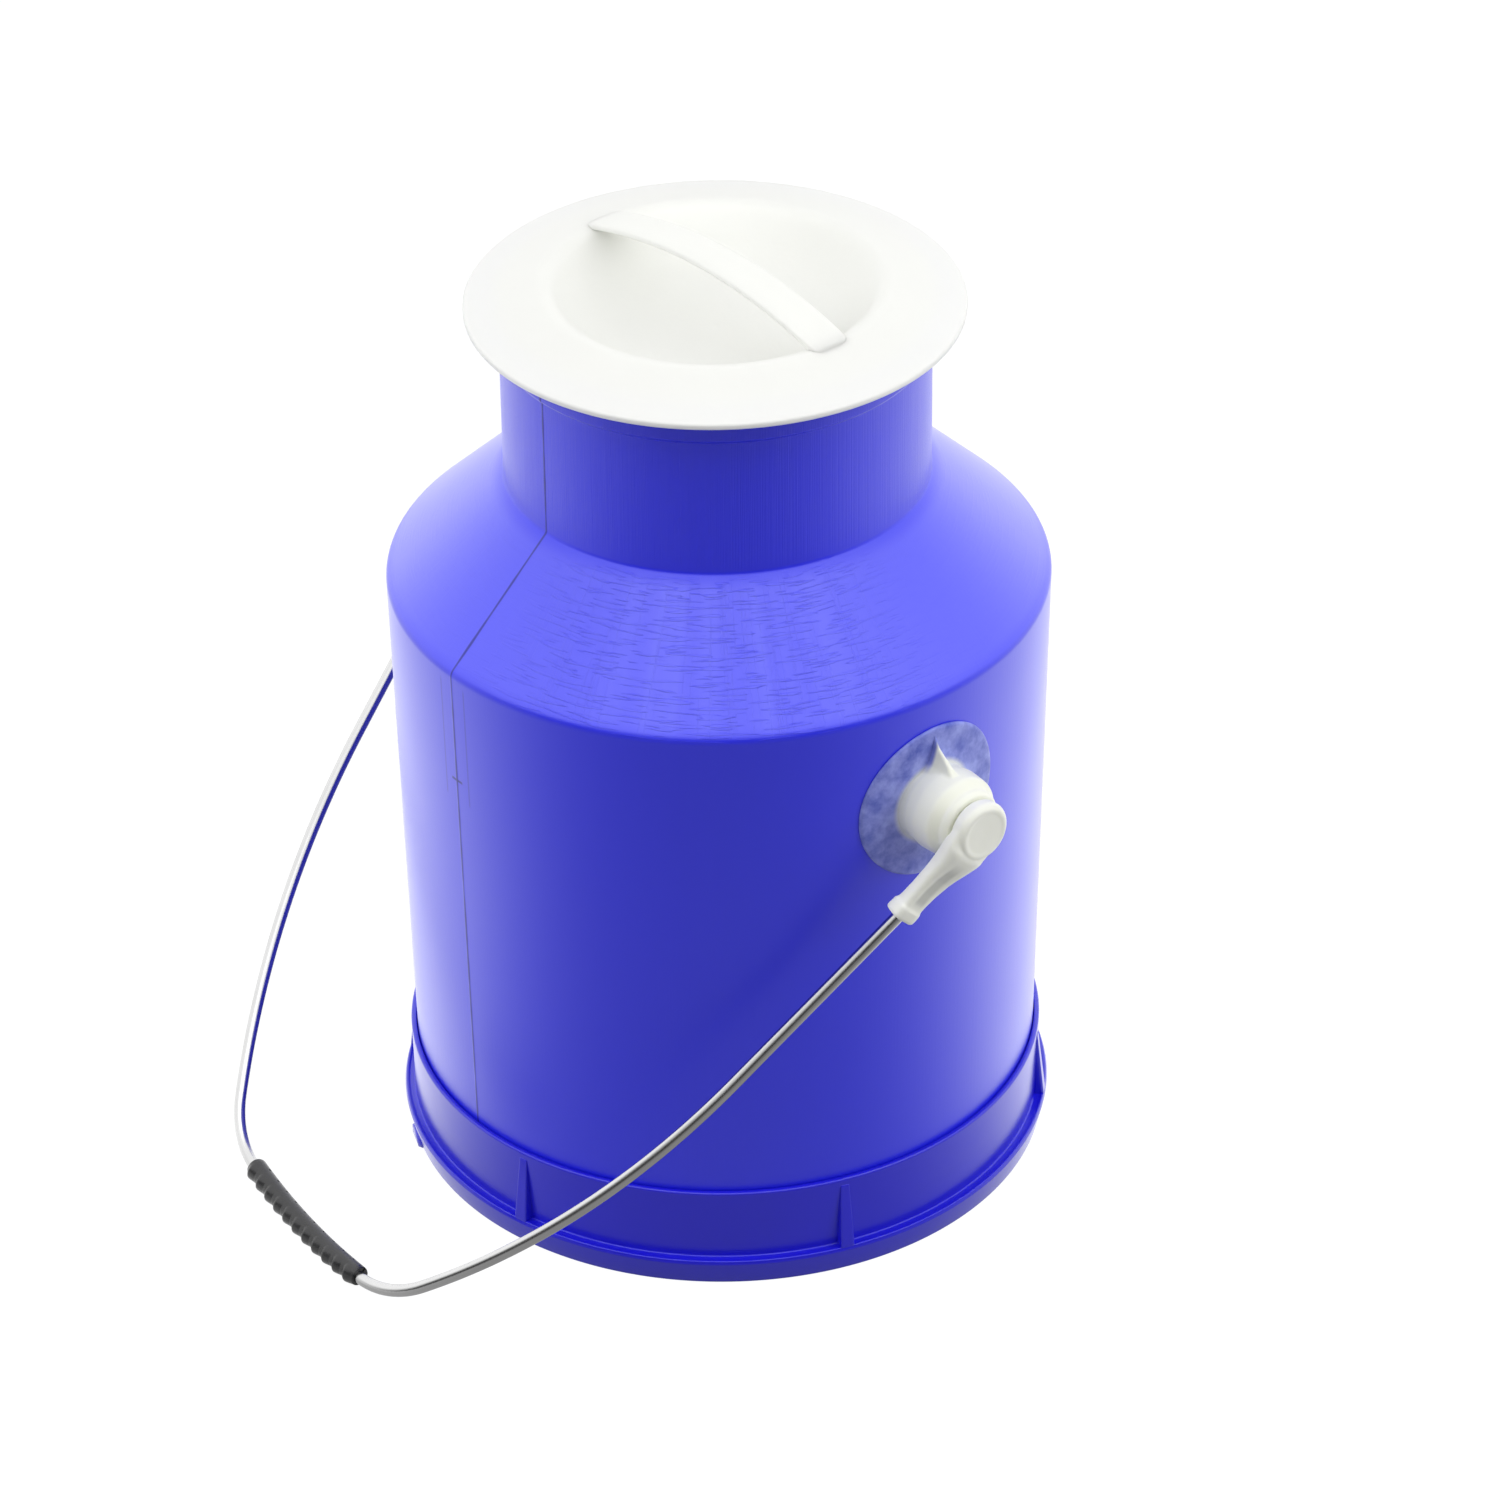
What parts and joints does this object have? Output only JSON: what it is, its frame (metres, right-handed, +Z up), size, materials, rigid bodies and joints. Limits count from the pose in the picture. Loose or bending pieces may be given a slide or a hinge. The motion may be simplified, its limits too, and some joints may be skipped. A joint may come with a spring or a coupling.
{
  "type": "plastic milk can with lid and bail handle",
  "caption": "Blue plastic milk can with a foot ring, a push-in white lid with a strap, and a wire bail with a black grip that swings on side studs.",
  "frame": {"origin": "middle of the foot ring's underside, on the can's axis, on the surface that the can stands on", "axes": "+Z up along the can's axis; X along the pivot line of the bail, +X at the right stud; at rest the bail lies to -Y with its grip on the ground"},
  "size_m": [0.2902, 0.299, 0.352],
  "materials": {
    "blue_body": "smooth blow-moulded polyethylene with a soft sheen",
    "blue_ring": "glossy injection-moulded polyethylene",
    "white_lid": "natural white polyethylene with a soft sheen",
    "white_stud": "natural white polyethylene, mottled where it is welded to the wall",
    "white_end": "natural white polyethylene with a soft sheen",
    "steel_wire": "bright plated steel wire",
    "black_grip": "black ribbed plastic sleeve"
  },
  "bodies": {
    "can": {"can_body": "blue_body", "foot_ring": "blue_ring", "lid": "white_lid", "stud_right": "white_stud", "stud_left": "white_stud"},
    "bail": {"bail_end_right": "white_end", "bail_end_left": "white_end", "bail_wire": "steel_wire", "bail_grip": "black_grip"}
  },
  "joints": [
    {"name": "bail_swing", "type": "hinge", "parent": "can", "child": "bail", "pos_m": [0, 0, 0.189], "axis": [-1, 0, 0], "range_deg": [0, 272.9]}
  ]
}
